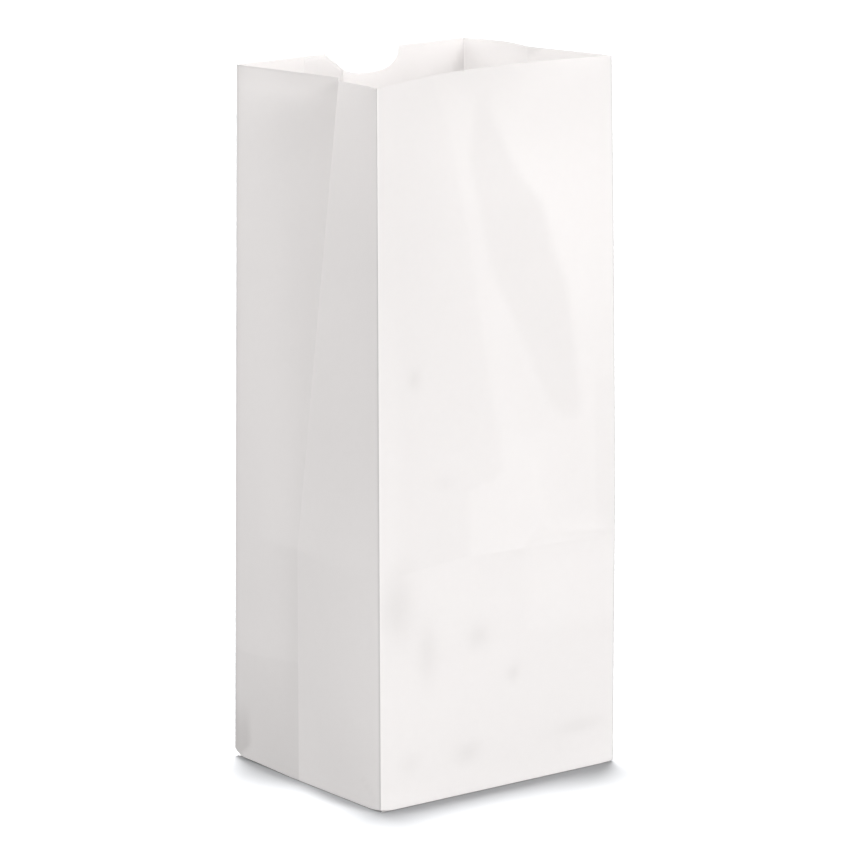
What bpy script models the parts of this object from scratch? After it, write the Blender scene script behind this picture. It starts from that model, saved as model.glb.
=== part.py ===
"""Plain paper grocery bag: a self-opening sack with gusseted sides, a flat base and a thumb cut.

Metres, +Z up. The bag stands open on the floor. Its front panel faces -Y, its gusseted sides
face -X and +X, and its back panel, with the thumb cut in the rim, faces +Y. The origin is on the
floor, under the middle of the base.

The paper starts as the flat-sided box that the folds would make if they were all square. The box is
cut into a net along its folds and then bent: each of its six upright folds leans its own way towards
the mouth, the left gusset folds in, and the panels between the folds belly or bow a little.
"""

import math

import bmesh
import bpy
from mathutils import Vector

# Driving dimensions
WIDTH = 0.140  # front and back panels, from fold to fold
DEPTH = 0.118  # gusseted sides, from fold to fold
HEIGHT = 0.340  # from the floor to the rim of the mouth
PAPER = 0.00025  # one sheet, with the glued laps spread over it
GUSSET_FOLD = 0.0062  # the gussets' middle folds lie this far behind the middle of the side
HALF_DEPTH_CREASE = DEPTH / 2  # where the base's folds meet the gusset fold
BASE_LAP = 0.114  # height of the crease that the folded-up base leaves on the front

# Thumb cut in the back panel's rim
THUMB_MIDDLE = 0.0095  # X of its middle
THUMB_WIDTH = 0.0386
THUMB_DEPTH = 0.0117
THUMB_ROUNDNESS = 2.5  # exponent of its outline: 2 is an ellipse, higher is squarer
THUMB_CORNER = (0.0066, 0.0098)  # width and depth of the corner turned back beside it

# How the upright folds stand: foot (X, Y), lean of the mouth (X, Y), height where the lean starts,
# its growth as a power of the height, and the rise of the rim there above HEIGHT.
LEFT, RIGHT = -WIDTH / 2, WIDTH / 2
FRONT, BACK = -DEPTH / 2, DEPTH / 2
FOLDS = {
    "front_left": ((LEFT, FRONT), (0.0008, 0.0029), 0.0, 1.0, -0.0006),
    "front_right": ((RIGHT, FRONT), (-0.0007, 0.0046), BASE_LAP, 1.4, 0.0030),
    "right_fold": ((RIGHT, GUSSET_FOLD), (-0.0015, 0.0026), BASE_LAP, 1.0, 0.0007),
    "back_right": ((RIGHT, BACK), (-0.0010, -0.0005), 0.0, 1.0, -0.0004),
    "back_left": ((LEFT, BACK), (-0.0007, -0.0073), 0.0, 1.0, -0.0012),
    "left_fold": ((LEFT, GUSSET_FOLD), (0.0237, -0.0023), BASE_LAP, 1.0, -0.0041),
}
RIM_RISE_POWER = 3.0  # the rim's rises fade downwards as this power of the height

# How the panels curve between their folds
BELLY = 0.0014  # outward swell low down
BELLY_HEIGHT = 0.075
FRONT_BOW = -0.0125  # the front panel's rim bows inwards
FRONT_BOW_FOOT = 0.150
RIGHT_BOW = 0.0048  # the rear half of the right gusset bows outwards at the rim
RIGHT_BOW_FOOT = 0.110

# Net: parts that each stretch between two folds or creases is cut into
PANEL_COLUMNS = 10
GUSSET_COLUMNS = 4  # in each half of a gusset
ROWS = ((HALF_DEPTH_CREASE, 4), (BASE_LAP, 4), (HEIGHT, 8))

FLAT = 1e-6


def share(value, start, end):
    """How far value lies from start to end, held between 0 and 1."""
    return min(1.0, max(0.0, (value - start) / (end - start)))


def fold_point(name, height):
    """Where an upright fold is at a height of the square box."""
    (x, y), (lean_x, lean_y), start, power, _ = FOLDS[name]
    lean = share(height, start, HEIGHT) ** power
    return Vector((x + lean_x * lean, y + lean_y * lean))


def belly(height):
    """Outward swell of a panel's middle: none at the floor, most at BELLY_HEIGHT, none at the mouth."""
    rise = height / BELLY_HEIGHT
    return BELLY * rise * math.exp(1.0 - rise)


def panel_of(point):
    """The two folds beside a point of the square box, the share of the way between them, and its bow."""
    x, y, height = point
    front_bow = FRONT_BOW * share(height, FRONT_BOW_FOOT, HEIGHT) ** 1.5
    right_bow = RIGHT_BOW * share(height, RIGHT_BOW_FOOT, HEIGHT)
    if abs(y - FRONT) < FLAT:
        return "front_left", "front_right", share(x, LEFT, RIGHT), front_bow
    if abs(y - BACK) < FLAT:
        return "back_right", "back_left", share(x, RIGHT, LEFT), 0.0
    if abs(x - RIGHT) < FLAT:
        if y < GUSSET_FOLD:
            return "front_right", "right_fold", share(y, FRONT, GUSSET_FOLD), 0.0
        return "right_fold", "back_right", share(y, GUSSET_FOLD, BACK), right_bow
    if y < GUSSET_FOLD:
        return "left_fold", "front_left", share(y, GUSSET_FOLD, FRONT), 0.0
    return "back_left", "left_fold", share(y, BACK, GUSSET_FOLD), 0.0


def formed(point):
    """Where a point of the square box goes when the bag is bent into its true form."""
    x, y, height = point
    if LEFT + FLAT < x < RIGHT - FLAT and FRONT + FLAT < y < BACK - FLAT:
        return point.copy()
    start, end, way, bow = panel_of(point)
    foot, head = fold_point(start, height), fold_point(end, height)
    along = (head - foot).normalized()
    outward = Vector((along.y, -along.x))
    swell = (belly(height) + bow) * math.sin(math.pi * way)
    place = foot.lerp(head, way) + outward * swell
    rise = FOLDS[start][-1] + (FOLDS[end][-1] - FOLDS[start][-1]) * way
    return Vector((place.x, place.y, height + rise * (height / HEIGHT) ** RIM_RISE_POWER))


def stations(start, end, count):
    """The places that cut start to end into count equal parts, with end and without start."""
    return [start + (end - start) * step / count for step in range(1, count + 1)]


def net_cuts():
    """The planes, as (axis, place), that cut the square box along its folds, creases and net."""
    across = stations(LEFT, RIGHT, PANEL_COLUMNS)[:-1]
    deep = stations(FRONT, GUSSET_FOLD, GUSSET_COLUMNS) + stations(GUSSET_FOLD, BACK, GUSSET_COLUMNS)[:-1]
    heights, floor = [], 0.0
    for top, count in ROWS:
        heights += stations(floor, top, count)
        floor = top
    return [(0, x) for x in across] + [(1, y) for y in deep] + [(2, z) for z in heights[:-1]]


def sheet_mesh():
    """The bag's paper as one open surface: four walls and the base."""
    sheet = bmesh.new()
    bmesh.ops.create_cube(sheet, size=1.0)
    bmesh.ops.scale(sheet, vec=(WIDTH, DEPTH, HEIGHT), verts=sheet.verts)
    bmesh.ops.translate(sheet, vec=(0.0, 0.0, HEIGHT / 2), verts=sheet.verts)
    mouth = [face for face in sheet.faces if face.normal.z > 0.5]
    bmesh.ops.delete(sheet, geom=mouth, context="FACES_ONLY")
    for axis, place in net_cuts():
        centre, normal = Vector((0.0, 0.0, 0.0)), Vector((0.0, 0.0, 0.0))
        centre[axis], normal[axis] = place, 1.0
        everything = sheet.verts[:] + sheet.edges[:] + sheet.faces[:]
        bmesh.ops.bisect_plane(sheet, geom=everything, dist=FLAT, plane_co=centre, plane_no=normal)
    # The paper is thinner than its facets' bends, so both of its sides have to be split alike.
    bmesh.ops.triangulate(sheet, faces=sheet.faces[:], quad_method="FIXED")
    for vert in sheet.verts:
        vert.co = formed(vert.co)
    mesh = bpy.data.meshes.new("bag")
    sheet.to_mesh(mesh)
    sheet.free()
    return mesh


def prism(name, outline, middle_y, thickness):
    """A closed block with an outline in X and Z, centred on middle_y."""
    block = bmesh.new()
    corners = [block.verts.new((x, middle_y - thickness / 2, z)) for x, z in outline]
    face = block.faces.new(corners)
    grown = bmesh.ops.extrude_face_region(block, geom=[face])["geom"]
    moved = [item for item in grown if isinstance(item, bmesh.types.BMVert)]
    bmesh.ops.translate(block, vec=(0.0, thickness, 0.0), verts=moved)
    bmesh.ops.recalc_face_normals(block, faces=block.faces[:])
    mesh = bpy.data.meshes.new(name)
    block.to_mesh(mesh)
    block.free()
    return bpy.data.objects.new(name, mesh)


def thumb_outline(steps=24):
    """The thumb cut: a squarish half oval below the rim, closed above it."""
    rim, above = HEIGHT, HEIGHT + 0.010
    points = []
    for step in range(steps + 1):
        turn = math.pi * step / steps
        across = math.copysign(abs(math.cos(turn)) ** (2 / THUMB_ROUNDNESS), math.cos(turn))
        down = math.sin(turn) ** (2 / THUMB_ROUNDNESS)
        points.append((THUMB_MIDDLE - across * THUMB_WIDTH / 2, rim - down * THUMB_DEPTH))
    return points + [(points[-1][0], above), (points[0][0], above)]


def corner_outline():
    """The corner turned back at the thumb cut's left end: a triangle, open above the rim."""
    width, depth = THUMB_CORNER
    edge = THUMB_MIDDLE - THUMB_WIDTH / 2
    reach = 0.0045  # how far it runs on past the cut's end and the rim
    slope = depth / (width + reach)
    return [
        (edge + reach, HEIGHT - depth),
        (edge + reach, HEIGHT + reach),
        (edge - width - reach / slope, HEIGHT + reach),
    ]


def paper_material():
    material = bpy.data.materials.new("white_paper")
    material.use_nodes = True
    shader = material.node_tree.nodes["Principled BSDF"]
    shader.inputs["Base Color"].default_value = (0.82, 0.79, 0.77, 1.0)
    shader.inputs["Roughness"].default_value = 0.8
    shader.inputs["Metallic"].default_value = 0.0
    return material


def bag(parts, cutters):
    """The bag, with its paper's thickness and the thumb cut."""
    body = bpy.data.objects.new("bag", sheet_mesh())
    body.data.materials.append(paper_material())
    parts.objects.link(body)
    paper = body.modifiers.new("Paper", "SOLIDIFY")
    paper.thickness = PAPER
    paper.offset = -1.0
    paper.use_even_offset = True
    for name, outline in (("thumb_cutter", thumb_outline()), ("corner_cutter", corner_outline())):
        cutter = prism(name, outline, BACK, 0.03)
        cutter.hide_render = True
        cutter.display_type = "WIRE"
        cutters.objects.link(cutter)
        cut = body.modifiers.new(name, "BOOLEAN")
        cut.operation = "DIFFERENCE"
        cut.object = cutter
    return body


def main():
    for thing in list(bpy.data.objects):
        bpy.data.objects.remove(thing, do_unlink=True)
    parts = bpy.data.collections.new("Paper grocery bag")
    cutters = bpy.data.collections.new("Cutters")
    bpy.context.scene.collection.children.link(parts)
    bpy.context.scene.collection.children.link(cutters)
    cutters.hide_render = True
    bag(parts, cutters)


main()
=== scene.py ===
"""Looks of the plain white paper grocery bag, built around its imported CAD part.

Metres, +Z up, in the part's frame: the front panel faces -Y, the gusseted sides -X and +X, and the
back panel, with the thumb cut, +Y. The paper is one finely divided sheet. It has the CAD part's
folds and curves, and the creases, waves and dents that a bag keeps from having been folded flat.
"""

import math

import bpy
import numpy as np
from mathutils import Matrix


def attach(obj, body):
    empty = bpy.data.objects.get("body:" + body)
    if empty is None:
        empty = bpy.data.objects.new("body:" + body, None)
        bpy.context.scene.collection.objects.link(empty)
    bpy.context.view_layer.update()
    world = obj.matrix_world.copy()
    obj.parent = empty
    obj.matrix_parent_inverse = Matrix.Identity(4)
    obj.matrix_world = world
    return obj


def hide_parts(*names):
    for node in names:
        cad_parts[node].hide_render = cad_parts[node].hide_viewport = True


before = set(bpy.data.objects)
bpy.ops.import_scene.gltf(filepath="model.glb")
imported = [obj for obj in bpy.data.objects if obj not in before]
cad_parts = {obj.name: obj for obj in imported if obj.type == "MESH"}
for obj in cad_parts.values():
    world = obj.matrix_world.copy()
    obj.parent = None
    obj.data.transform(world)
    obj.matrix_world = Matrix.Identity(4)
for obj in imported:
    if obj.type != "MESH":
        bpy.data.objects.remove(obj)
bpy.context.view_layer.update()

BODY = "root"
NODE = "bag"

# The CAD part's own dimensions
WIDTH, DEPTH, HEIGHT = 0.140, 0.118, 0.340
LEFT, RIGHT = -WIDTH / 2, WIDTH / 2
FRONT, BACK = -DEPTH / 2, DEPTH / 2
GUSSET_FOLD = 0.0062
HALF_DEPTH = DEPTH / 2
BASE_LAP = 0.114
# foot (X, Y), lean of the mouth (X, Y), height where the lean starts, its power, rise of the rim
FOLDS = {
    "front_left": ((LEFT, FRONT), (0.0008, 0.0029), 0.0, 1.0, -0.0006),
    "front_right": ((RIGHT, FRONT), (-0.0007, 0.0046), BASE_LAP, 1.4, 0.0030),
    "right_fold": ((RIGHT, GUSSET_FOLD), (-0.0015, 0.0026), BASE_LAP, 1.0, 0.0007),
    "back_right": ((RIGHT, BACK), (-0.0010, -0.0005), 0.0, 1.0, -0.0004),
    "back_left": ((LEFT, BACK), (-0.0007, -0.0073), 0.0, 1.0, -0.0012),
    "left_fold": ((LEFT, GUSSET_FOLD), (0.0237, -0.0023), BASE_LAP, 1.0, -0.0041),
}
RIM_RISE_POWER = 3.0
BELLY, BELLY_HEIGHT = 0.0014, 0.075
FRONT_BOW, FRONT_BOW_FOOT, FRONT_BOW_POWER = -0.0125, 0.150, 1.5
RIGHT_BOW, RIGHT_BOW_FOOT = 0.0048, 0.110

# Paper
SHEET = 0.00012  # thickness of one ply
BASE_RAISE = 0.00030  # the base's inner ply lies this far above the floor, on its folded flaps
STEP = 0.0026  # usual distance between the sheet's stations
STATION_CLEAR = 0.35 * STEP  # the usual ones stay this far from the exact ones
STATION_DIGITS = 7
FOLD_STATIONS = (0.0003, 0.0008, 0.0016)  # closer ones beside each fold
MARK_ROWS = (0.1095, 0.1185, 0.0005)  # closer rows at the flap's mark: from, to and apart
CREASE_ROWS = (0.0535, 0.0600, 0.0006)  # and at the level crease
RIM_ROW = HEIGHT - 0.00012

# Thumb cut in the back panel's rim
THUMB_MIDDLE, THUMB_HALF_WIDTH, THUMB_DEPTH = 0.0095, 0.0193, 0.0115
THUMB_ROUNDNESS = 2.5
THUMB_TURNS = (0, 8, 15, 22, 30, 38, 47, 57, 68, 80, 92, 104, 115, 126, 136, 145)  # degrees
THUMB_CLEAR = 0.0008  # the rounded outline stops this far from the lap's edge
THUMB_FOOT = 0.300  # the sheet's rows are pressed down above this height
LAP_EDGE = -0.0065  # X of the inner edge of the lap that is glued up the back panel
LAP_WIDTH = 0.0150
LAP_OUTER = LAP_EDGE - LAP_WIDTH
LAP_STEP = 0.0002  # width of the step where the lap ends on the outside
LAP_BLEND = 0.0080  # the inner ply runs into the wall over this width beyond the lap
THUMB_CORNER_END = -0.0167  # where the cut's slanting left end meets the rim
TIP_WEAR, TIP_WEAR_LENGTH = 0.0016, 0.050  # the left gusset's rim is worn down beside its fold
TIP_CLEAR = 0.0001

# Glued lap, base and flaps
LAP_COLUMNS, LAP_ROWS, LAP_TOP_ROWS = 24, 90, 22
LAP_FOOT, LAP_BELOW_RIM = 0.0015, 0.0011
LAP_STAND_OFF = 0.0007  # its inner edge stands off this far at the rim
LAP_INSET, LAP_INSET_GROWTH, LAP_INSET_RUN = 0.3, 1.9, 0.002  # in sheets, in sheets, in metres
BASE_CREASE, BASE_CREASE_WIDTH, BASE_EDGE = 0.00025, 0.0012, 0.004
FLAP_INSET = 0.0008  # the flaps start this far inside the base's outline
FLAP_OVERLAP = 0.008  # and end this far past its middle
FLAP_ROWS, FLAP_COLUMNS = 13, 17
FLAPS = (("bag_flap_rear", 1, 0.00014), ("bag_flap_front", -1, 0.00001))  # name, side, height


def share(value, start, end):
    """How far value lies from start to end, held between 0 and 1."""
    return np.clip((value - start) / (end - start), 0.0, 1.0)


def smooth(value, start, end):
    """Like share, but easing in and out."""
    part = share(value, start, end)
    return part * part * (3.0 - 2.0 * part)


def bump(distance, width):
    """1 where distance is 0, fading to nothing over a few widths."""
    return np.exp(-((distance / width) ** 2))


def fold_point(name, height):
    """Where an upright fold is at a height: X and Y."""
    (x, y), (lean_x, lean_y), start, power, _ = FOLDS[name]
    lean = share(height, start, HEIGHT) ** power
    return np.stack([x + lean_x * lean, y + lean_y * lean], axis=-1)


def belly(height):
    """Outward swell of a panel's middle, low down."""
    rise = height / BELLY_HEIGHT
    return BELLY * rise * np.exp(1.0 - rise)


def segment_distance(x, z, points):
    """Distance in the panel's plane from each place to a line through some points."""
    nearest = np.full(np.shape(x), np.inf)
    for (x0, z0), (x1, z1) in zip(points[:-1], points[1:]):
        run_x, run_z = x1 - x0, z1 - z0
        way = np.clip(((x - x0) * run_x + (z - z0) * run_z) / (run_x**2 + run_z**2), 0.0, 1.0)
        nearest = np.minimum(nearest, np.hypot(x - x0 - way * run_x, z - z0 - way * run_z))
    return nearest


# Front panel: places in X and height, lengths in metres
FLAP_MARK = ((-0.070, 0.1108), (-0.022, 0.1155), (0.025, 0.1146), (0.070, 0.1134))
WAVE_EDGES = (  # three lines where the paper's long waves turn, as (height, X)
    ((0.112, 0.0050), (0.160, 0.0030), (0.221, -0.0065), (0.305, -0.0170), (0.340, -0.0270)),
    (
        (0.112, 0.0500), (0.168, 0.0420), (0.185, 0.0280), (0.221, 0.0120),
        (0.250, -0.0010), (0.300, -0.0090), (0.340, 0.0010),
    ),
    (
        (0.112, 0.0560), (0.200, 0.0480), (0.235, 0.0440), (0.255, 0.0370),
        (0.275, 0.0320), (0.290, 0.0200), (0.315, 0.0080), (0.340, 0.0020),
    ),
)
LIGHT_CORNER = (0.1490, -0.0175)  # below this height the light area reaches left to this X
WAVE_SLOPE = 0.045
WAVE_SOFTNESS = 0.0040
WAVE_HEIGHTS = (0.115, 0.200)  # the waves grow in over these heights
MARK_RISE, MARK_WIDTH, MARK_X = 0.00022, 0.0025, (-0.045, 0.0)  # ridge along the flap's mark
FRONT_EDGE = 0.004  # relief fades out this near the folds
FRONT_RIDGES = (  # points (X, height), half width, height of the ridge
    (((0.0210, 0.1530), (0.0240, 0.1300), (0.0300, 0.1220), (0.0660, 0.1160)), 0.0020, 0.00024),
    (((0.0225, 0.1260), (0.0095, 0.1140)), 0.0018, 0.00020),
    (((0.0580, 0.1800), (0.0580, 0.1360)), 0.0013, 0.00026),
)
FRONT_DENTS = (  # X, height, half width, half height, depth, tone of the painted shade in the dent
    (-0.0483, 0.2030, 0.0034, 0.0048, 0.00030, 1.05),
    (-0.0324, 0.1524, 0.0050, 0.0030, 0.00016, 0.40),
    (-0.0131, 0.0755, 0.0060, 0.0056, 0.00036, 1.10),
    (0.0075, 0.0549, 0.0036, 0.0040, 0.00026, 1.00),
    (-0.0189, 0.0200, 0.0075, 0.0050, 0.00030, 1.00),
    (-0.0528, 0.0200, 0.0060, 0.0050, 0.00022, 0.60),
    (0.0480, 0.0215, 0.0140, 0.0033, 0.00024, 0.80),
    (-0.0590, 0.0950, 0.0085, 0.0170, 0.00060, 1.25),
    (-0.0430, 0.0720, 0.0055, 0.0140, 0.00040, 1.00),
)

# Gussets and back panel: heights, widths and rises of their creases
CREASE_HEIGHT, CREASE_RISE = 0.0546, 0.0041  # level crease on the gussets, and its rise to the fold
CREASE_SWELL, CREASE_TOP = 0.0010, 0.12
SLANT_RISE, SLANT_WIDTH = 0.00010, 0.0012  # the base fold's slanting crease
GUSSET_SWELL, GUSSET_SWELL_FOOT = 0.0014, 0.05
NEAR_SWELL_TOP, FAR_SWELL_TOP = 0.20, 0.24
REAR_RIDGE, REAR_RIDGE_PLACE, REAR_RIDGE_END = 0.0003, 0.0045, 0.02
GUSSET_EDGE = 0.0015  # relief fades out this near the folds
BACK_CREASE, BACK_CREASE_HEIGHT, BACK_CREASE_WIDTH = 0.0006, 0.0570, 0.0100
BACK_SAG, BACK_EDGE = 0.0010, 0.004

# Painted light and shade: the tone attribute darkens the paper's colour where shade falls, and is
# left low for painted highlights.
# Tones. One unit darkens the paper's colour by about 7 %. A pair of numbers is a range for smooth
# or share: the tone grows from the first place to the second, up or down, in metres.
TONE_UNIT = 0.3  # share of PAINTED_SHADE_TINT that one unit stands for
PAINTED_SHADE_TINT = (0.766, 0.762, 0.760, 1.0)

# Front: painted shade of the waves, dents and rim, and painted highlights, in units of tone
MARK_SOFT, EDGE_SOFT, LENS_SOFT, CORNER_SOFT = 0.0006, 0.003, 0.004, 0.004
LEFT_TONE, LEFT_HIGH_LOSS, LEFT_HIGH = 0.62, 0.16, (0.16, 0.26)  # painted shade left of the first wave
LEFT_SIDE_LOSS, LEFT_SIDE = 0.65, (-0.052, LEFT)
LEFT_TOP_LOSS, LEFT_TOP = 0.35, (0.29, 0.32)
LENS_TONE, LENS_FOOT, LENS_TOP = 0.72, (0.165, 0.180), (HEIGHT, 0.315)  # the long lens of painted shade
BAND_TONE, BAND_HEIGHTS = 0.15, (0.20, 0.26)
RIGHT_TONE, RIGHT_SIDE, RIGHT_HEIGHTS = 0.45, (0.054, 0.060), (0.200, 0.185)
LIGHT_TONE, LIGHT_HEIGHTS = 0.22, (0.24, 0.20)  # painted shade of the light area, left out along the ridges as painted highlights
LOWER_TONE, LOWER_PATCH_LOSS, LOWER_FOOT = 0.30, 0.24, (0.003, 0.014)  # painted shade below the flap's mark
PATCH_SIDE, PATCH_HEIGHTS = (0.010, 0.022), (0.068, 0.080)
RISE_TONE, RISE_RIGHT_LOSS, RISE_HEIGHTS = 0.65, 0.35, (0.10, 0.30)  # painted shade, darker towards the rim
TOP_RIGHT_TONE, TOP_RIGHT_HEIGHTS = 0.5, (0.27, 0.33)
BOWED_TONE, BOWED_HALF_WIDTH, BOWED_HEIGHTS = 1.5, 0.045, (0.283, 0.336)  # painted shade on the bowed-in rim
LIGHT_LINE, DARK_LINE, DARK_LINE_TONE = (0.0004, 0.0012), (0.0009, 0.0003), 2.8  # painted highlight at the left fold, painted shade line at the right fold

# Left gusset's rear half: painted shade, in units of tone
FAR_FOLD_TONE, FAR_TOP_TONE, FAR_TOP_GROWTH, FAR_TOP = 0.85, 0.3, 0.9, (0.285, 0.335)
FAR_RIM_TONE, FAR_RIM_CROWN, FAR_RIM = 1.0, 0.6, (HEIGHT - 0.0100, HEIGHT - 0.0010)
RIM_LINE_TONE, RIM_LINE = 2.6, (HEIGHT - 0.0010, HEIGHT - 0.0004)
LOW = (0.065, 0.040)  # the painted shade lines at the rear left fold are darker below
FOOT_TONE, FOOT_SLANT, FOOT_EDGE = 2.0, 1.1, (0.0055, 0.0035)  # painted shade on the dented rear left foot
FOOT_REACH, FOOT_HEIGHTS = (0.016, 0.011), (0.034, 0.012)
# painted shade lines beside the rear left fold: distance from it, width, tone, tone added in the
# range LOW
FOLD_LINES = ((0.0034, 0.0005, 0.4, 2.0), (0.0062, 0.0004, 0.3, 0.0))
BELOW_CREASE_TONE, BELOW_CREASE_GROWTH, CREASE_SOFT = 0.35, 0.5, 0.0005
OUTLINE_TONE, OUTLINE_LOW_TONE, OUTLINE = 1.5, 1.5, (0.0016, 0.0008)
# Left gusset's front half: painted shade, in units of tone
NEAR_HIGH_TONE, NEAR_HIGH, NEAR_HIGH_LENGTH = 0.25, 0.275, 0.045
NEAR_TOP_TONE, NEAR_TOP, NEAR_TOP_SIDE = 0.30, (0.30, HEIGHT), (-0.03, FRONT)
NEAR_SLANT_TONE, NEAR_SLANT_WIDTH = 0.6, 0.0020  # painted shade in the base fold's slanting crease
NEAR_SLANT_FOOT, NEAR_SLANT_TOP = (0.002, 0.005), (0.017, 0.012)
NEAR_LINE_TONE, NEAR_LINE = 3.0, (0.0013, 0.0006)
NEAR_MIDDLE_TONE, NEAR_MIDDLE, NEAR_MIDDLE_LENGTH = 0.4, 0.17, 0.07
# Right gusset: a wedge of painted shade at the rim and a painted highlight on its fold
WEDGE_TONE, WEDGE_WIDTH, WEDGE_HEIGHT, WEDGE_SOFT = 1.1, 0.0136, 0.0075, (0.0, 0.25)
FOLD_LIGHT_HEIGHTS, FOLD_LIGHT = (0.3310, 0.3325), (0.0011, 0.0004)
BACK_TONE, BACK_SIDE, BACK_HEIGHTS = 1.2, (0.005, 0.035), (0.26, 0.30)  # painted shade right of the thumb cut
# painted shadow in the back's right corner, and painted shade beside the lap's edge
BACK_CORNER_TONE, BACK_CORNER_SLANT, BACK_CORNER_HEIGHTS = 1.2, 0.42, (0.30, 0.31)
BACK_CORNER_EDGE = (-0.0012, 0.0012)
BESIDE_LAP_TONE, BESIDE_LAP_HEIGHTS = 1.3, (0.27, 0.31)
BESIDE_LAP = (LAP_OUTER + 0.001, LAP_OUTER - 0.004)


def wave_side(x, height):
    """-1 where the front panel's long waves face away from the left, 1 where they face it."""
    side = -np.ones(np.shape(x))
    for sign, edge in zip((2.0, -2.0, 2.0), WAVE_EDGES):
        turn = np.interp(height, *zip(*edge))
        side += sign * (0.5 + 0.5 * np.tanh((x - turn) / WAVE_SOFTNESS))
    return side


def dent_shape(x, height, dent):
    """1 in the middle of a dent, fading to nothing around it."""
    dent_x, dent_z, half_x, half_z = dent[:4]
    return np.exp(-(((x - dent_x) / half_x) ** 2) - ((height - dent_z) / half_z) ** 2)


def front_painted_light_and_shade(x, height):
    """Painted shade on the front, in units of tone: the shading of its waves, dents and bowed rim,
    with painted highlights along its ridges and left fold.
    """
    mark = np.interp(x, *zip(*FLAP_MARK))
    upper = smooth(height, mark - MARK_SOFT, mark + MARK_SOFT)
    left_edge, lens_start, lens_end = (np.interp(height, *zip(*edge)) for edge in WAVE_EDGES)
    corner_z, corner_x = LIGHT_CORNER
    below_corner = smooth(height, corner_z + CORNER_SOFT, corner_z - CORNER_SOFT)
    left_edge = left_edge + (corner_x - left_edge) * below_corner
    left = smooth(x, left_edge + EDGE_SOFT, left_edge - EDGE_SOFT)
    left *= LEFT_TONE - LEFT_HIGH_LOSS * smooth(height, *LEFT_HIGH)
    left *= 1.0 - LEFT_SIDE_LOSS * smooth(x, *LEFT_SIDE)
    left *= 1.0 - LEFT_TOP_LOSS * smooth(height, *LEFT_TOP)
    before_end = smooth(x, lens_end + EDGE_SOFT, lens_end - EDGE_SOFT)
    lens = smooth(x, lens_start - LENS_SOFT, lens_start + LENS_SOFT) * before_end
    lens *= LENS_TONE * smooth(height, *LENS_FOOT) * smooth(height, *LENS_TOP)
    band = BAND_TONE * smooth(height, *BAND_HEIGHTS) * before_end
    edge = RIGHT_TONE * smooth(x, *RIGHT_SIDE) * smooth(height, *RIGHT_HEIGHTS)
    light = LIGHT_TONE * smooth(height, *LIGHT_HEIGHTS)
    for points, width, _ in FRONT_RIDGES:
        light *= 1.0 - bump(segment_distance(x, height, points), width)
    above = np.maximum.reduce([left, lens, band, edge, light])
    light_patch = smooth(x, *PATCH_SIDE) * smooth(height, *PATCH_HEIGHTS)
    below = (LOWER_TONE - LOWER_PATCH_LOSS * light_patch) * smooth(height, *LOWER_FOOT)
    tone = upper * above + (1.0 - upper) * below
    upper_right = smooth(x, lens_end - LENS_SOFT, lens_end + LENS_SOFT)
    tone += (RISE_TONE - RISE_RIGHT_LOSS * upper_right) * smooth(height, *RISE_HEIGHTS)
    tone += TOP_RIGHT_TONE * upper_right * smooth(height, *TOP_RIGHT_HEIGHTS)
    tone += BOWED_TONE * bump(x, BOWED_HALF_WIDTH) * share(height, *BOWED_HEIGHTS) ** 2
    for dent in FRONT_DENTS:
        tone += dent[-1] * dent_shape(x, height, dent)
    tone *= smooth(x - LEFT, *LIGHT_LINE)
    return np.maximum(tone, DARK_LINE_TONE * smooth(RIGHT - x, *DARK_LINE))


def level_crease(y):
    """Height of the level crease on a gusset's rear half."""
    return CREASE_HEIGHT + (BACK - y) / (BACK - GUSSET_FOLD) * CREASE_RISE


def far_painted_shade(y, height):
    """Painted shade on the left gusset's rear half: darker towards its fold, its rim and its foot,
    below its level crease, and in lines along its rear fold.
    """
    crease = level_crease(y)
    from_back = BACK - y
    to_fold = share(y, BACK, GUSSET_FOLD)
    low = smooth(height, *LOW)
    below = 1.0 - smooth(height, crease - CREASE_SOFT, crease + CREASE_SOFT)
    tone = FAR_FOLD_TONE * to_fold**2
    tone += (FAR_TOP_TONE + FAR_TOP_GROWTH * to_fold) * smooth(height, *FAR_TOP)
    tone += (FAR_RIM_TONE + FAR_RIM_CROWN * np.sin(math.pi * to_fold)) * share(height, *FAR_RIM)
    tone += RIM_LINE_TONE * smooth(height, *RIM_LINE)
    foot = smooth(from_back - FOOT_SLANT * height, *FOOT_EDGE) * smooth(from_back, *FOOT_REACH)
    tone += FOOT_TONE * foot * smooth(height, *FOOT_HEIGHTS)
    for place, width, dark, added in FOLD_LINES:
        tone += (dark + added * low) * bump(from_back - place, width)
    tone += below * (BELOW_CREASE_TONE + BELOW_CREASE_GROWTH * share(height, crease, 0.0))
    return tone + (OUTLINE_TONE + OUTLINE_LOW_TONE * low) * smooth(from_back, *OUTLINE)


def near_painted_shade(y, height):
    """Painted shade on the left gusset's front half: darker high up, in the middle, along the base
    fold's slanting crease and in a line at its front fold.
    """
    from_front = y - FRONT
    tone = NEAR_HIGH_TONE * bump(height - NEAR_HIGH, NEAR_HIGH_LENGTH)
    tone += NEAR_TOP_TONE * smooth(height, *NEAR_TOP) * smooth(y, *NEAR_TOP_SIDE)
    slant = NEAR_SLANT_TONE * bump(from_front - height, NEAR_SLANT_WIDTH)
    tone += slant * smooth(height, *NEAR_SLANT_FOOT) * smooth(height, *NEAR_SLANT_TOP)
    tone += NEAR_LINE_TONE * smooth(from_front, *NEAR_LINE)
    return tone + NEAR_MIDDLE_TONE * bump(height - NEAR_MIDDLE, NEAR_MIDDLE_LENGTH)


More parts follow.
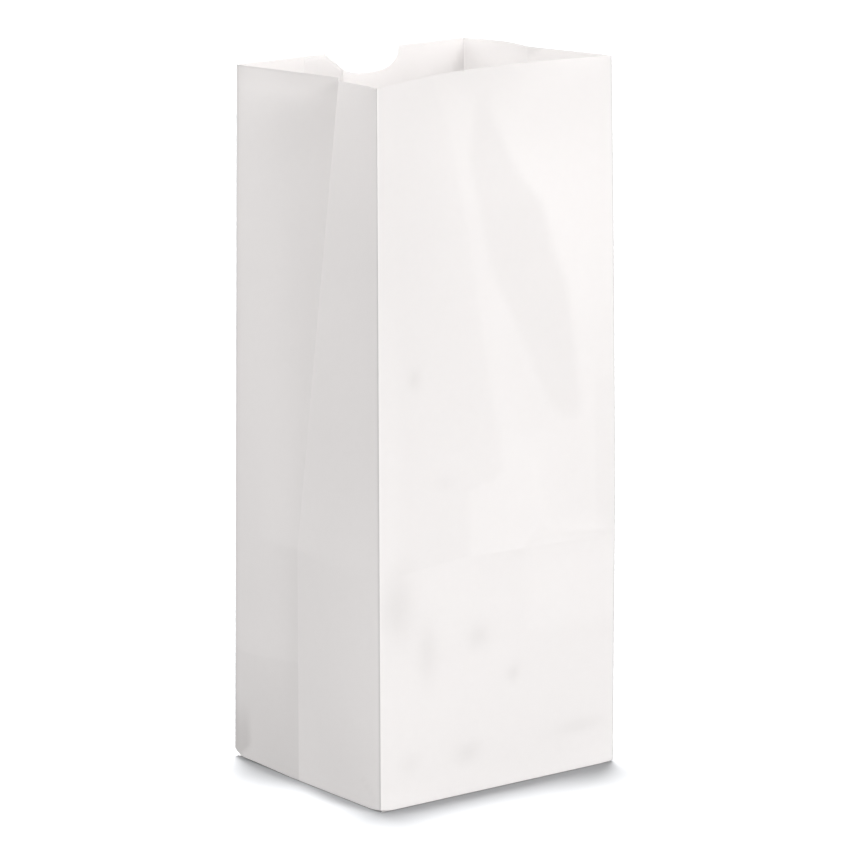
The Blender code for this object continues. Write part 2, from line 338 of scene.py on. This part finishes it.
def right_painted_light_and_shade(y, height):
    """Painted light and shade on the right gusset: a wedge of painted shade at the rim, and a
    painted highlight along its fold.
    """
    from_fold = GUSSET_FOLD - y
    inside = 1.0 - from_fold / WEDGE_WIDTH - (HEIGHT - height) / WEDGE_HEIGHT
    tone = WEDGE_TONE * smooth(inside, *WEDGE_SOFT) * (from_fold > 0.0)
    high = smooth(height, *FOLD_LIGHT_HEIGHTS)
    return tone * (1.0 - high * smooth(np.abs(from_fold), *FOLD_LIGHT))


def back_painted_shade(x, height):
    """Painted shade on the back panel: right of the thumb cut, a painted shadow in its right
    corner, and painted shade beside the lap.
    """
    tone = BACK_TONE * smooth(x, *BACK_SIDE) * smooth(height, *BACK_HEIGHTS)
    corner = smooth((HEIGHT - height) * BACK_CORNER_SLANT - (RIGHT - x), *BACK_CORNER_EDGE)
    tone += BACK_CORNER_TONE * corner * smooth(height, *BACK_CORNER_HEIGHTS)
    return tone + BESIDE_LAP_TONE * smooth(x, *BESIDE_LAP) * smooth(height, *BESIDE_LAP_HEIGHTS)


def painted_shades(x, y, height):
    """How much painted shade darkens the paper, as a share of its dark tint."""
    places = (
        (y <= FRONT) & (x < RIGHT),
        (y >= BACK) & (x > LEFT),
        (x <= LEFT) & (y > GUSSET_FOLD),
        (x <= LEFT) & (y <= GUSSET_FOLD),
        x >= RIGHT,
    )
    values = (
        front_painted_light_and_shade(x, height),
        back_painted_shade(x, height),
        far_painted_shade(y, height),
        near_painted_shade(y, height),
        right_painted_light_and_shade(y, height),
    )
    return TONE_UNIT * np.select(places, values, 0.0)


def front_relief(x, height):
    """Outward relief of the front panel: long waves, the base's old lap mark, ridges and dents."""
    slope = wave_side(x, height)
    order = np.argsort(x[0])
    back_again = np.argsort(order)
    across, run = x[:, order], slope[:, order] * WAVE_SLOPE
    steps = np.diff(across, axis=1) * (run[:, 1:] + run[:, :-1]) / 2
    wave = np.concatenate([np.zeros((len(x), 1)), np.cumsum(steps, axis=1)], axis=1)
    wave -= wave[:, -1:] * share(across, LEFT, RIGHT)
    relief = wave[:, back_again] * smooth(height, *WAVE_HEIGHTS)
    mark = np.interp(x, *zip(*FLAP_MARK))
    relief += MARK_RISE * smooth(x, *MARK_X) * np.exp(-np.abs(height - mark) / MARK_WIDTH)
    for points, width, tall in FRONT_RIDGES:
        relief += tall * bump(segment_distance(x, height, points), width)
    for dent in FRONT_DENTS:
        relief -= dent[4] * dent_shape(x, height, dent)
    return relief * smooth(np.minimum(x - LEFT, RIGHT - x), 0.0, FRONT_EDGE)


def tent(value, start, top, end):
    """Rises straight from start to top and falls straight to end."""
    return share(value, start, top) * (1.0 - share(value, top, end))


def gusset_relief(y, height, near, left):
    """Outward relief of half a gusset: the base's slanting crease, and a level crease behind."""
    corner = FRONT if near else BACK
    from_corner = np.abs(y - corner)
    edge = np.minimum(from_corner, np.abs(y - GUSSET_FOLD))
    slant = from_corner - height
    relief = SLANT_RISE * np.exp(-np.abs(slant) / SLANT_WIDTH) * (height < HALF_DEPTH)
    crown = np.sin(math.pi * share(y, corner, GUSSET_FOLD))
    top = NEAR_SWELL_TOP if near else FAR_SWELL_TOP
    swell = GUSSET_SWELL * crown * smooth(height, 0.0, GUSSET_SWELL_FOOT)
    relief += swell * (1.0 - smooth(height, top, HEIGHT))
    if not near:
        relief += CREASE_SWELL * crown * tent(height, 0.0, level_crease(y), CREASE_TOP)
    if left and not near:
        ridge = smooth(from_corner, 0.0, REAR_RIDGE_PLACE)
        relief += REAR_RIDGE * ridge * (1.0 - smooth(from_corner, REAR_RIDGE_PLACE, REAR_RIDGE_END))
    return relief * smooth(edge, 0.0, GUSSET_EDGE)


def back_relief(x, height):
    """Outward relief of the back panel: the glued lap's step and the folded base's level crease."""
    lap = share(x, LAP_OUTER - LAP_STEP, LAP_OUTER) * share(x, 0.0, LAP_EDGE)
    crease = -BACK_CREASE * np.exp(-np.abs(height - BACK_CREASE_HEIGHT) / BACK_CREASE_WIDTH)
    sag = BACK_SAG * np.sin(math.pi * share(x, LEFT, RIGHT)) * np.sin(math.pi * height / HEIGHT)
    edge = np.minimum(x - LEFT, RIGHT - x)
    return SHEET * lap + (crease - sag) * smooth(edge, 0.0, BACK_EDGE)


def panels(x, y):
    """Each panel as (name, which places it holds, start fold, end fold, share of the way)."""
    front, back = y <= FRONT, y >= BACK
    right, left = x >= RIGHT, x <= LEFT
    near, to_fold = y < GUSSET_FOLD, y <= GUSSET_FOLD
    far_right = right & ~near & ~back
    far_left = left & (back | ~near) & ~to_fold
    near_left = left & to_fold & ~front
    return (
        ("front", front & ~right, "front_left", "front_right", share(x, LEFT, RIGHT)),
        ("right_near", right & near, "front_right", "right_fold", share(y, FRONT, GUSSET_FOLD)),
        ("right_far", far_right, "right_fold", "back_right", share(y, GUSSET_FOLD, BACK)),
        ("back", back & ~left, "back_right", "back_left", share(x, RIGHT, LEFT)),
        ("left_far", far_left, "back_left", "left_fold", share(y, BACK, GUSSET_FOLD)),
        ("left_near", near_left, "left_fold", "front_left", share(y, GUSSET_FOLD, FRONT)),
    )


def panel_swell(name, x, y, height):
    """Bow and relief of a panel at some places: the bow fades to the folds as a sine."""
    if name == "front":
        bow = FRONT_BOW * share(height, FRONT_BOW_FOOT, HEIGHT) ** FRONT_BOW_POWER
        return bow, front_relief(x, height)
    if name == "back":
        return 0.0, back_relief(x, height)
    bow = RIGHT_BOW * share(height, RIGHT_BOW_FOOT, HEIGHT) if name == "right_far" else 0.0
    return bow, gusset_relief(y, height, name.endswith("near"), name.startswith("left"))


def formed(x, y, height, inset=0.0):
    """Where places on the square box's walls go when it is bent into the bag's true form."""
    out = np.zeros(np.shape(x) + (3,))
    inset = np.broadcast_to(inset, np.shape(x))
    for name, held, start, end, way in panels(x[0], y[0]):
        if not held.any():
            continue
        px, py, h = x[:, held], y[:, held], height[:, held]
        way = np.broadcast_to(way[held], px.shape)
        foot, head = fold_point(start, h), fold_point(end, h)
        along = head - foot
        along /= np.linalg.norm(along, axis=-1, keepdims=True)
        outward = np.stack([along[..., 1], -along[..., 0]], axis=-1)
        bow, relief = panel_swell(name, px, py, h)
        swell = (belly(h) + bow) * np.sin(math.pi * way) + relief - inset[:, held]
        place = foot + (head - foot) * way[..., None] + outward * swell[..., None]
        rise = FOLDS[start][-1] + (FOLDS[end][-1] - FOLDS[start][-1]) * way
        out[:, held, :2] = place
        out[:, held, 2] = h + rise * (h / HEIGHT) ** RIM_RISE_POWER
    return out


CORNER_LIFTS = (  # how far a bottom corner stands off the floor, and how far along X and Y
    (LEFT, BACK, 0.0012, 0.020, 0.045),
    (LEFT, BACK, 0.0026, 0.006, 0.006),
    (RIGHT, FRONT, 0.0006, 0.007, 0.009),
    (RIGHT, BACK, 0.0010, 0.009, 0.009),
    (LEFT, FRONT, 0.0009, 0.006, 0.007),
)
LIFT_FADE = 0.012


def corner_lift(x, y):
    """How far the base's bent-up corners are above its flat middle."""
    lift = np.zeros(np.shape(x))
    for corner_x, corner_y, tall, long_x, long_y in CORNER_LIFTS:
        way_x, way_y = np.abs(x - corner_x) / long_x, np.abs(y - corner_y) / long_y
        lift += tall * np.clip(1.0 - way_x - way_y, 0.0, 1.0)
    return lift


def settled(box_x, box_y, points, height):
    """Sets the bottom of the sheet on its flaps, with the corners bent up."""
    lift = BASE_RAISE + corner_lift(box_x, box_y)
    points[..., 2] += lift * (1.0 - share(height, 0.0, LIFT_FADE))
    return points


def thumb_points():
    """The thumb cut's outline as X and depth below the rim, from left to right."""
    turns = np.radians(THUMB_TURNS)
    across = np.sign(np.cos(turns)) * np.abs(np.cos(turns)) ** (2 / THUMB_ROUNDNESS)
    depth = THUMB_DEPTH * np.sin(turns) ** (2 / THUMB_ROUNDNESS)
    x = THUMB_MIDDLE + across * THUMB_HALF_WIDTH
    lap_depth = np.interp(LAP_EDGE, x[::-1], depth[::-1])
    inside = x > LAP_EDGE + THUMB_CLEAR
    left = [(THUMB_CORNER_END, 0.0), (LAP_EDGE, lap_depth)]
    return left + list(zip(x[inside][::-1], depth[inside][::-1]))


def thumb_depth(x):
    """Depth of the thumb cut below the rim at X."""
    across, depth = zip(*thumb_points())
    return np.interp(x, across, depth, left=0.0, right=0.0)


def stations(ends, exact=()):
    """Places STEP apart between each pair of ends, closer beside them, with some exact ones."""
    places = []
    for start, end in zip(ends[:-1], ends[1:]):
        count = max(1, round((end - start) / STEP))
        places += list(np.linspace(start, end, count + 1))
    kept, fixed = [], list(exact) + list(ends)
    fixed += [start + gap for start in ends[:-1] for gap in FOLD_STATIONS]
    fixed += [end - gap for end in ends[1:] for gap in FOLD_STATIONS]
    for place in places:
        if min(abs(place - other) for other in fixed) > STATION_CLEAR:
            kept.append(place)
    return np.array(sorted(set(np.round(fixed + kept, STATION_DIGITS))))


def mesh_object(name, points, faces, attributes=()):
    """A smooth-shaded mesh object."""
    mesh = bpy.data.meshes.new(name)
    mesh.from_pydata([tuple(point) for point in points], [], [tuple(face) for face in faces])
    for label, values in attributes:
        attribute = mesh.attributes.new(label, "FLOAT", "POINT")
        attribute.data.foreach_set("value", np.asarray(values, float))
    mesh.shade_smooth()
    mesh.update()
    piece = bpy.data.objects.new(name, mesh)
    bpy.context.scene.collection.objects.link(piece)
    return piece


def given_thickness(piece, thickness):
    """Gives an open sheet its thickness, inwards, and keeps the result as its mesh."""
    modifier = piece.modifiers.new("Ply", "SOLIDIFY")
    modifier.thickness = thickness
    modifier.offset = -1.0
    view = bpy.context.evaluated_depsgraph_get()
    mesh = bpy.data.meshes.new_from_object(piece.evaluated_get(view))
    flat = piece.data
    piece.modifiers.clear()
    piece.data = mesh
    bpy.data.meshes.remove(flat)
    mesh.name = piece.name


def quads(*corners):
    """Four-sided faces from four grids that hold the numbers of their corners."""
    return np.stack(corners, axis=-1).reshape(-1, 4)


def pressed_down(height, limit):
    """Presses the rows above THUMB_FOOT together, so that the rim comes down to a limit."""
    above = (height - THUMB_FOOT) * (limit - THUMB_FOOT) / (HEIGHT - THUMB_FOOT)
    return np.where(height > THUMB_FOOT, THUMB_FOOT + above, height)


def rim_limit(x, y):
    """Height of the rim: cut out for the thumb at the back, and worn down on the left gusset."""
    limit = HEIGHT - np.where(y >= BACK, thumb_depth(x), 0.0)
    from_fold = GUSSET_FOLD - y
    worn = (x <= LEFT) & (from_fold > TIP_CLEAR)
    wear = TIP_WEAR * (1.0 - share(from_fold, 0.0, TIP_WEAR_LENGTH))
    return limit - np.where(worn, wear, 0.0)


def base_grid(foot, columns, lines, first):
    """Corner numbers of the base: the walls' foot around it, and new ones from first inside."""
    base = np.full((lines, columns), -1)
    base[0, :-1] = foot[: columns - 1]
    base[:-1, -1] = foot[columns - 1 : columns + lines - 2]
    base[-1, :0:-1] = foot[columns + lines - 2 : 2 * columns + lines - 3]
    base[:0:-1, 0] = foot[2 * columns + lines - 3 :]
    inner = (lines - 2, columns - 2)
    base[1:-1, 1:-1] = first + np.arange(inner[0] * inner[1]).reshape(inner)
    return base


def bag_sheet():
    """The bag's one sheet of paper: four walls around a base."""
    thumb_x = [x for x, _ in thumb_points()]
    across = stations((LEFT, RIGHT), thumb_x + [LAP_OUTER - LAP_STEP, LAP_OUTER])
    deep = stations((FRONT, GUSSET_FOLD, BACK))
    fine = list(np.arange(*MARK_ROWS)) + list(np.arange(*CREASE_ROWS))
    heights = stations((0.0, HEIGHT), fine + [RIM_ROW])
    front, back = (np.full(len(across) - 1, y) for y in (FRONT, BACK))
    right, left = (np.full(len(deep) - 1, x) for x in (RIGHT, LEFT))
    ring_x = np.concatenate([across[:-1], right, across[:0:-1], left])
    ring_y = np.concatenate([front, deep[:-1], back, deep[:0:-1]])
    count, rows = len(ring_x), len(heights)
    x, y = np.tile(ring_x, (rows, 1)), np.tile(ring_y, (rows, 1))
    height = np.tile(heights[:, None], (1, count))
    pressed = pressed_down(height, rim_limit(x, y))
    walls = settled(x, y, formed(x, y, pressed), pressed).reshape(-1, 3)
    index = np.arange(rows * count).reshape(rows, count)
    around = np.roll(index, -1, axis=1)
    faces = list(quads(index[:-1], around[:-1], around[1:], index[1:]))

    base = base_grid(index[0], len(across), len(deep), rows * count)
    inner_x, inner_y = np.meshgrid(across[1:-1], deep[1:-1])
    inner_z = BASE_RAISE + corner_lift(inner_x, inner_y) + base_relief(inner_x, inner_y)
    floor = np.stack([inner_x, inner_y, inner_z], axis=-1).reshape(-1, 3)
    faces += list(quads(base[:-1, :-1], base[1:, :-1], base[1:, 1:], base[:-1, 1:]))
    # painted light and shade on the walls, none on the base
    tone = np.concatenate([painted_shades(x, y, height).ravel(), np.zeros(inner_x.size)])
    piece = mesh_object("bag_paper", np.concatenate([walls, floor]), faces, [("tone", tone)])
    given_thickness(piece, SHEET)
    return piece


def base_relief(x, y):
    """Height of the base's inner ply above its flat: creases that slant in from the corners."""
    slant = np.abs(np.abs(x) - RIGHT) - np.abs(np.abs(y) - BACK)
    edge = np.minimum(RIGHT - np.abs(x), BACK - np.abs(y))
    return BASE_CREASE * np.exp(-np.abs(slant) / BASE_CREASE_WIDTH) * smooth(edge, 0.0, BASE_EDGE)


def back_lap():
    """The inner ply of the lap glued up the back panel; its edge stands off near the rim."""
    blend_edge = LAP_OUTER - LAP_BLEND
    x_places = np.linspace(blend_edge, LAP_EDGE, LAP_COLUMNS)[::-1]
    low = np.linspace(LAP_FOOT, THUMB_FOOT, LAP_ROWS)
    high = np.linspace(THUMB_FOOT, HEIGHT, LAP_TOP_ROWS)
    x, height = np.meshgrid(x_places, np.concatenate([low, high[1:]]))
    pressed = pressed_down(height, HEIGHT - thumb_depth(x) - LAP_BELOW_RIM)
    lifted = share(x, LAP_OUTER, LAP_EDGE) ** 2 * smooth(pressed, THUMB_FOOT, HEIGHT)
    sheets = LAP_INSET + LAP_INSET_GROWTH * smooth(x, blend_edge, LAP_OUTER + LAP_INSET_RUN)
    inset = SHEET * sheets + LAP_STAND_OFF * lifted
    points = formed(x, np.full(x.shape, BACK), pressed, inset)
    index = np.arange(x.size).reshape(x.shape)
    faces = quads(index[:-1, :-1], index[:-1, 1:], index[1:, 1:], index[1:, :-1])
    piece = mesh_object("bag_back_lap", points.reshape(-1, 3), faces)
    given_thickness(piece, SHEET)
    return piece


def base_flap(name, side, bottom):
    """One of the base's two long flaps, folded in from the front (-1) or the back (+1) edge."""
    edge = side * (BACK - FLAP_INSET)
    end = -side * FLAP_OVERLAP
    points, faces = [], []
    for row in range(FLAP_ROWS):
        y = edge + (end - edge) * row / (FLAP_ROWS - 1)
        half = RIGHT - FLAP_INSET - abs(y - edge)
        for column in range(FLAP_COLUMNS):
            points.append((half * (2 * column / (FLAP_COLUMNS - 1) - 1), y, bottom))
    for row in range(FLAP_ROWS - 1):
        for column in range(FLAP_COLUMNS - 1):
            corner = row * FLAP_COLUMNS + column
            above = corner + FLAP_COLUMNS
            faces.append((corner, above, above + 1, corner + 1))
    if side > 0:
        faces = [face[::-1] for face in faces]
    piece = mesh_object(name, points, faces)
    given_thickness(piece, SHEET)
    return piece


# Paper's material
FIBRE_STRETCH, FIBRE_NOISE = (1.0, 1.0, 0.3), (2600.0, 6.0, 0.7)  # scale, detail, roughness
CLOUD_NOISE = (260.0, 4.0, 0.6)
COCKLE_STRETCH, COCKLE_NOISE = (1.0, 1.0, 0.55), (38.0, 3.0, 0.5)
TINTS = ((0.25, (0.849, 0.827, 0.821, 1.0)), (0.75, (0.869, 0.848, 0.842, 1.0)))
FIBRE_SHARE = 0.35  # share of the fibres in the paper's mottle; the rest is clouds
ROUGHNESS = (0.3, 0.7, 0.66, 0.84)  # range of the fibres' noise, and what it becomes
COCKLE_RELIEF, GRAIN_RELIEF = (1.0, 0.00018), (0.6, 0.00002)  # strength, depth
THROUGH_TINT, THROUGH_SHARE = (0.93, 0.92, 0.91, 1.0), 0.27  # light that comes through the paper
NUMBER_A, NUMBER_B = 2, 3  # sockets of a mix node
COLOUR_FACTOR, COLOUR_A, COLOUR_B, COLOUR_RESULT = 0, 6, 7, 2


def link(tree, source, target):
    """Joins two sockets."""
    tree.links.new(source, target)


def noise(tree, vector, scale, detail, roughness):
    """A noise's value at each place."""
    node = tree.nodes.new("ShaderNodeTexNoise")
    node.inputs["Scale"].default_value = scale
    node.inputs["Detail"].default_value = detail
    node.inputs["Roughness"].default_value = roughness
    link(tree, vector, node.inputs["Vector"])
    return node.outputs["Fac"]


def stretched(tree, vector, scale):
    """Places scaled along each axis, which stretches a noise along the axes scaled down."""
    node = tree.nodes.new("ShaderNodeMapping")
    node.inputs["Scale"].default_value = scale
    link(tree, vector, node.inputs["Vector"])
    return node.outputs["Vector"]


def ranged(tree, value, low, high, start, end):
    """A value moved from the range low to high into the range start to end."""
    node = tree.nodes.new("ShaderNodeMapRange")
    link(tree, value, node.inputs["Value"])
    limits = (("From Min", low), ("From Max", high), ("To Min", start), ("To Max", end))
    for label, number in limits:
        node.inputs[label].default_value = number
    return node.outputs["Result"]


def bumped(tree, height, strength, depth):
    """A node that shades the surface as if a height lay on it."""
    node = tree.nodes.new("ShaderNodeBump")
    node.inputs["Strength"].default_value = strength
    node.inputs["Distance"].default_value = depth
    link(tree, height, node.inputs["Height"])
    return node


def paper_material():
    """White machine-made paper: faint clouds, fine upright fibres, a little light through it, and
    painted light and shade from its tone attribute.
    """
    material = bpy.data.materials.new("white_bag_paper")
    material.use_nodes = True
    tree = material.node_tree
    shader = tree.nodes["Principled BSDF"]
    output = tree.nodes["Material Output"]
    place = tree.nodes.new("ShaderNodeTexCoord").outputs["Object"]
    fibres = noise(tree, stretched(tree, place, FIBRE_STRETCH), *FIBRE_NOISE)
    clouds = noise(tree, place, *CLOUD_NOISE)
    cockle = noise(tree, stretched(tree, place, COCKLE_STRETCH), *COCKLE_NOISE)

    tint = tree.nodes.new("ShaderNodeValToRGB")
    for stop, (position, colour) in zip(tint.color_ramp.elements, TINTS):
        stop.position, stop.color = position, colour
    mottle = tree.nodes.new("ShaderNodeMix")
    mottle.inputs["Factor"].default_value = FIBRE_SHARE
    link(tree, clouds, mottle.inputs[NUMBER_A])
    link(tree, fibres, mottle.inputs[NUMBER_B])
    link(tree, mottle.outputs[0], tint.inputs["Fac"])
    # painted light and shade: the tone attribute darkens the colour towards the dark tint
    painted_shade_amount = tree.nodes.new("ShaderNodeAttribute")
    painted_shade_amount.attribute_name = "tone"
    painted_shade_mix = tree.nodes.new("ShaderNodeMix")
    painted_shade_mix.data_type = "RGBA"
    painted_shade_mix.blend_type = "MULTIPLY"
    painted_shade_mix.inputs[COLOUR_B].default_value = PAINTED_SHADE_TINT
    link(tree, painted_shade_amount.outputs["Fac"], painted_shade_mix.inputs[COLOUR_FACTOR])
    link(tree, tint.outputs["Color"], painted_shade_mix.inputs[COLOUR_A])
    link(tree, painted_shade_mix.outputs[COLOUR_RESULT], shader.inputs["Base Color"])
    link(tree, ranged(tree, fibres, *ROUGHNESS), shader.inputs["Roughness"])

    soft = bumped(tree, cockle, *COCKLE_RELIEF)
    grain = bumped(tree, fibres, *GRAIN_RELIEF)
    link(tree, soft.outputs["Normal"], grain.inputs["Normal"])
    link(tree, grain.outputs["Normal"], shader.inputs["Normal"])

    through = tree.nodes.new("ShaderNodeBsdfTranslucent")
    through.inputs["Color"].default_value = THROUGH_TINT
    link(tree, grain.outputs["Normal"], through.inputs["Normal"])
    mix = tree.nodes.new("ShaderNodeMixShader")
    mix.inputs["Fac"].default_value = THROUGH_SHARE
    link(tree, shader.outputs["BSDF"], mix.inputs[1])
    link(tree, through.outputs["BSDF"], mix.inputs[2])
    link(tree, mix.outputs["Shader"], output.inputs["Surface"])
    return material


# Studio: lengths in metres, angles in degrees
CAMERA_PLACE, CAMERA_AZIMUTH, CAMERA_DOWN = (-1.2910, -1.6933, 0.6321), 37.34, 12.36
SENSOR_WIDTH, LENS = 36.0, 193.6  # millimetres
FLOOR_REACH, FLOOR_TINT = 12.0, (0.310, 0.313, 0.320, 1.0)
SKY = (  # from straight down to straight up: place on the ramp, colour
    (0.0, (0.62, 0.62, 0.62, 1.0)),
    (0.5, (0.10, 0.10, 0.10, 1.0)),
    (1.0, (1.25, 1.25, 1.25, 1.0)),
)
SKY_STRENGTH = 0.85
FLOOR_LIGHTS = (  # name, azimuth, elevation, angular size, energy
    ("overhead", 149.0, 84.7, 6.2, 7.3),  # the bag's shadow reaches forward and to the left
    ("rear left fill", -135.0, 40.0, 50.0, 1.5),
)
BOX_SIZE, BOX_DISTANCE = 3.4, 6.4
SOFT_BOXES = (  # name, azimuth, elevation, watts
    ("front box", 9.0, 15.0, 352.0),
    ("left rear box", -115.0, 24.0, 141.0),
    ("left box", -64.0, 24.0, 143.0),
    ("rear box", 135.0, 15.0, 345.0),
)


def floor_material():
    """A plain matt grey that the floor's own lights turn pale."""
    material = bpy.data.materials.new("studio_floor")
    material.use_nodes = True
    shader = material.node_tree.nodes["Principled BSDF"]
    shader.inputs["Base Color"].default_value = FLOOR_TINT
    shader.inputs["Roughness"].default_value = 1.0
    shader.inputs["Specular IOR Level"].default_value = 0.0
    return material


def studio_floor():
    """The plain floor. It throws no light and no shadow on the bag."""
    signs = ((-1, -1), (1, -1), (1, 1), (-1, 1))
    corners = [(x * FLOOR_REACH, y * FLOOR_REACH, 0) for x, y in signs]
    mesh = bpy.data.meshes.new("floor")
    mesh.from_pydata(corners, [], [(0, 1, 2, 3)])
    floor = bpy.data.objects.new("floor", mesh)
    bpy.context.scene.collection.objects.link(floor)
    floor.data.materials.append(floor_material())
    floor.visible_diffuse = False
    floor.visible_glossy = False
    floor.visible_shadow = False
    return floor


def sky():
    """A soft sky all round, dim at the level of the bag."""
    world = bpy.data.worlds.new("studio")
    world.use_nodes = True
    bpy.context.scene.world = world
    tree = world.node_tree
    background = tree.nodes["Background"]
    direction = tree.nodes.new("ShaderNodeTexCoord").outputs["Generated"]
    split = tree.nodes.new("ShaderNodeSeparateXYZ")
    link(tree, direction, split.inputs["Vector"])
    ramp = tree.nodes.new("ShaderNodeValToRGB")
    stops = ramp.color_ramp.elements
    (stops[0].position, stops[0].color), (middle, level), (stops[1].position, stops[1].color) = SKY
    stops.new(middle).color = level
    link(tree, ranged(tree, split.outputs["Z"], -1.0, 1.0, 0.0, 1.0), ramp.inputs["Fac"])
    link(tree, ramp.outputs["Color"], background.inputs["Color"])
    background.inputs["Strength"].default_value = SKY_STRENGTH


def studio():
    """Plain floor, soft sky, four soft boxes, and two suns that light the floor alone."""
    floor = studio_floor()
    sky()
    only_floor = bpy.data.collections.new("lit by the floor lights")
    only_floor.objects.link(floor)
    for name, azimuth, elevation, angle, energy in FLOOR_LIGHTS:
        light = bpy.data.lights.new(name, "SUN")
        light.energy = energy
        light.angle = math.radians(angle)
        lamp = bpy.data.objects.new(name, light)
        lamp.rotation_euler = (math.radians(90.0 - elevation), 0.0, math.radians(azimuth))
        bpy.context.scene.collection.objects.link(lamp)
        lamp.light_linking.receiver_collection = only_floor
    for name, azimuth, elevation, energy in SOFT_BOXES:
        soft_box(name, math.radians(azimuth), math.radians(elevation), energy)


def soft_box(name, azimuth, elevation, energy):
    """A square soft box that faces the bag. Azimuth 0 is in front of it, and 90 on its right."""
    light = bpy.data.lights.new(name, "AREA")
    light.shape = "SQUARE"
    light.size = BOX_SIZE
    light.energy = energy
    box = bpy.data.objects.new(name, light)
    level = math.cos(elevation)
    box.location = (
        BOX_DISTANCE * level * math.sin(azimuth),
        -BOX_DISTANCE * level * math.cos(azimuth),
        BOX_DISTANCE * math.sin(elevation) + HEIGHT / 2,
    )
    box.rotation_euler = (math.pi / 2 - elevation, 0.0, azimuth)
    bpy.context.scene.collection.objects.link(box)


def camera():
    """The photograph's view: from the front left and a little above, with a long lens."""
    data = bpy.data.cameras.new("camera")
    data.sensor_width = SENSOR_WIDTH
    data.lens = LENS
    eye = bpy.data.objects.new("camera", data)
    eye.location = CAMERA_PLACE
    eye.rotation_euler = (math.radians(90.0 - CAMERA_DOWN), 0.0, math.radians(-CAMERA_AZIMUTH))
    bpy.context.scene.collection.objects.link(eye)
    bpy.context.scene.camera = eye


def main():
    """Sets up the view and the studio, builds the bag's four pieces and ties them to the part."""
    camera()
    studio()
    scene = bpy.context.scene
    scene.view_settings.view_transform = "Standard"
    scene.view_settings.look = "None"
    paper = paper_material()
    sheet = bag_sheet()
    pieces = [sheet, back_lap()] + [base_flap(*flap) for flap in FLAPS]
    for piece in pieces:
        piece.data.materials.clear()
        piece.data.materials.append(paper)
        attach(piece, BODY)
    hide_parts(NODE)
    bpy.context.view_layer.update()


main()
